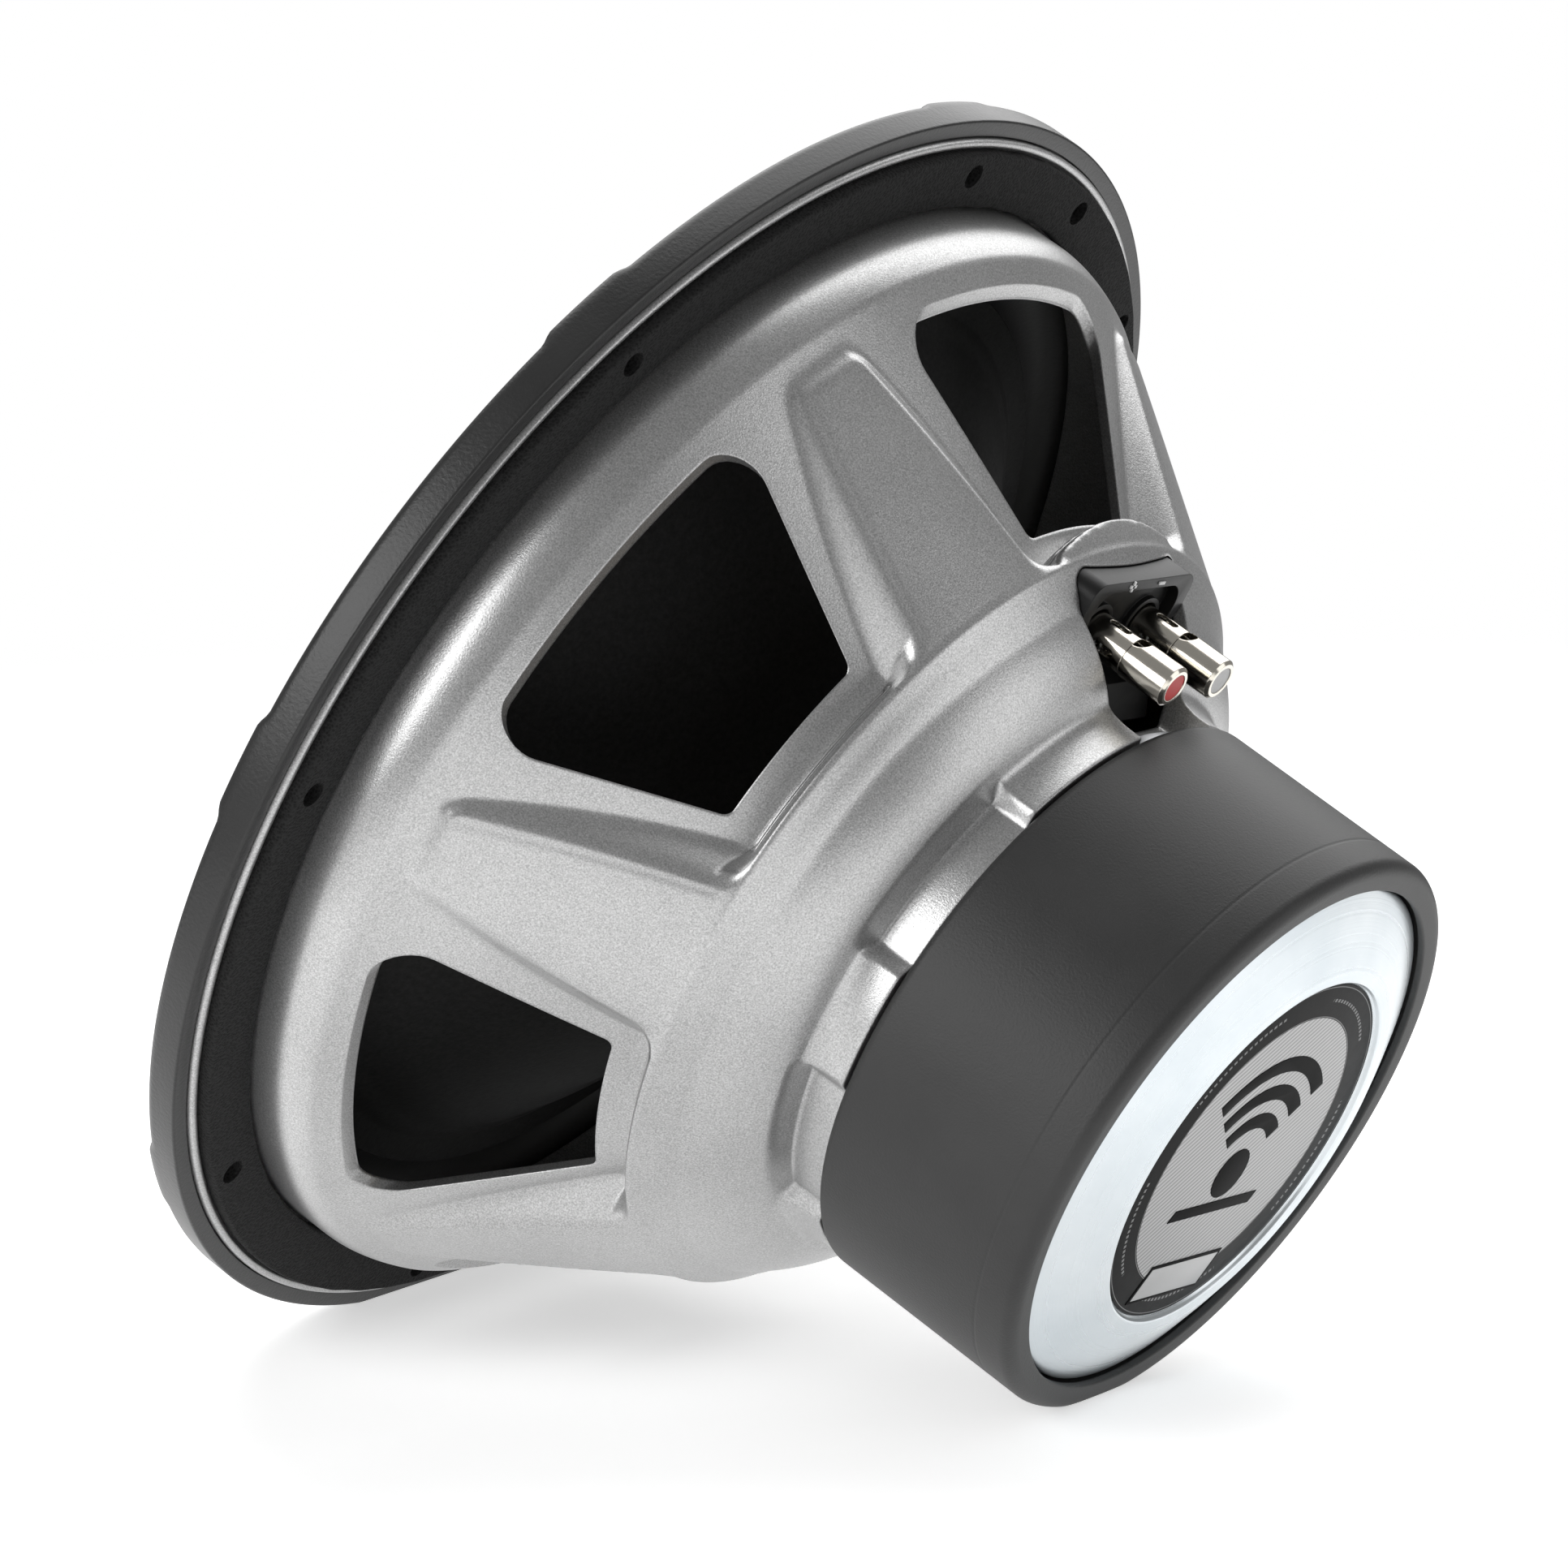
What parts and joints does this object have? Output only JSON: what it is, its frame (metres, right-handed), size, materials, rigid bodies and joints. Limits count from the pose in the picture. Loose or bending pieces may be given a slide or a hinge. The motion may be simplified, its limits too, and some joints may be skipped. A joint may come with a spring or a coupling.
{
  "type": "car subwoofer speaker",
  "caption": "Round car subwoofer with a windowed silver frame, rubber trimmed flange, booted motor, plated back plate and spring loaded push terminals.",
  "frame": {"origin": "middle of the back plate's rear face, on the speaker axis", "axes": "+Z along the speaker axis from the motor to the front of the cone, -Y towards the terminals"},
  "size_m": [0.32, 0.32, 0.1834],
  "materials": {
    "zinc_plated_steel": "zinc plated",
    "painted_steel": "satin silver paint",
    "label_film": "printed film",
    "ferrite": "sintered",
    "aluminium": "plain",
    "black_rubber": "fine grain",
    "black_foam": "open cell",
    "copper_wire": "enamelled",
    "black_card": "matt",
    "black_pulp": "pressed pulp",
    "surround_foam": "smooth skin",
    "spider_cloth": "resin dipped cloth",
    "black_plastic": "moulded",
    "nickel_plated_brass": "nickel plated",
    "red_plastic": "moulded",
    "grey_plastic": "moulded",
    "spring_steel": "bright wire",
    "brass": "plain",
    "tinsel_braid": "tinned braid"
  },
  "bodies": {
    "frame": {"back_label": "label_film", "basket": "painted_steel", "basket_screws": "zinc_plated_steel", "front_magnet": "ferrite", "motor_boot": "black_rubber", "mounting_gasket": "black_foam", "rear_magnet": "ferrite", "shorting_ring": "aluminium", "spider": "spider_cloth", "surround": "surround_foam", "t_yoke": "zinc_plated_steel", "terminal_block": "black_plastic", "terminal_lug_negative": "brass", "terminal_lug_positive": "brass", "terminal_nuts": "brass", "terminal_post_negative": "nickel_plated_brass", "terminal_post_positive": "nickel_plated_brass", "terminal_spring_negative": "spring_steel", "terminal_spring_positive": "spring_steel", "tinsel_lead_negative": "tinsel_braid", "tinsel_lead_positive": "tinsel_braid", "top_plate": "zinc_plated_steel", "trim_ring": "black_rubber"},
    "moving_cone": {"cone": "black_pulp", "dust_cap": "black_pulp", "coil_former": "aluminium", "voice_coil": "copper_wire", "lead_collar": "black_card"},
    "positive_shell": {"push_cap_positive": "nickel_plated_brass", "cap_insert_positive": "red_plastic", "terminal_sleeve_positive": "nickel_plated_brass"},
    "negative_shell": {"push_cap_negative": "nickel_plated_brass", "cap_insert_negative": "grey_plastic", "terminal_sleeve_negative": "nickel_plated_brass"}
  },
  "joints": [
    {"name": "cone_travel", "type": "slide", "parent": "frame", "child": "moving_cone", "axis": [0, 0, 1], "range_m": [-0.013, 0.013], "stiffness_N_per_m": 4000, "deforming": ["surround", "spider", "tinsel_lead_positive", "tinsel_lead_negative"]},
    {"name": "push_positive", "type": "slide", "parent": "frame", "child": "positive_shell", "axis": [0, 0, 1], "range_m": [0, 0.0036], "stiffness_N_per_m": 1500, "deforming": ["terminal_spring_positive"]},
    {"name": "push_negative", "type": "slide", "parent": "frame", "child": "negative_shell", "axis": [0, 0, 1], "range_m": [0, 0.0036], "stiffness_N_per_m": 1500, "deforming": ["terminal_spring_negative"]}
  ]
}
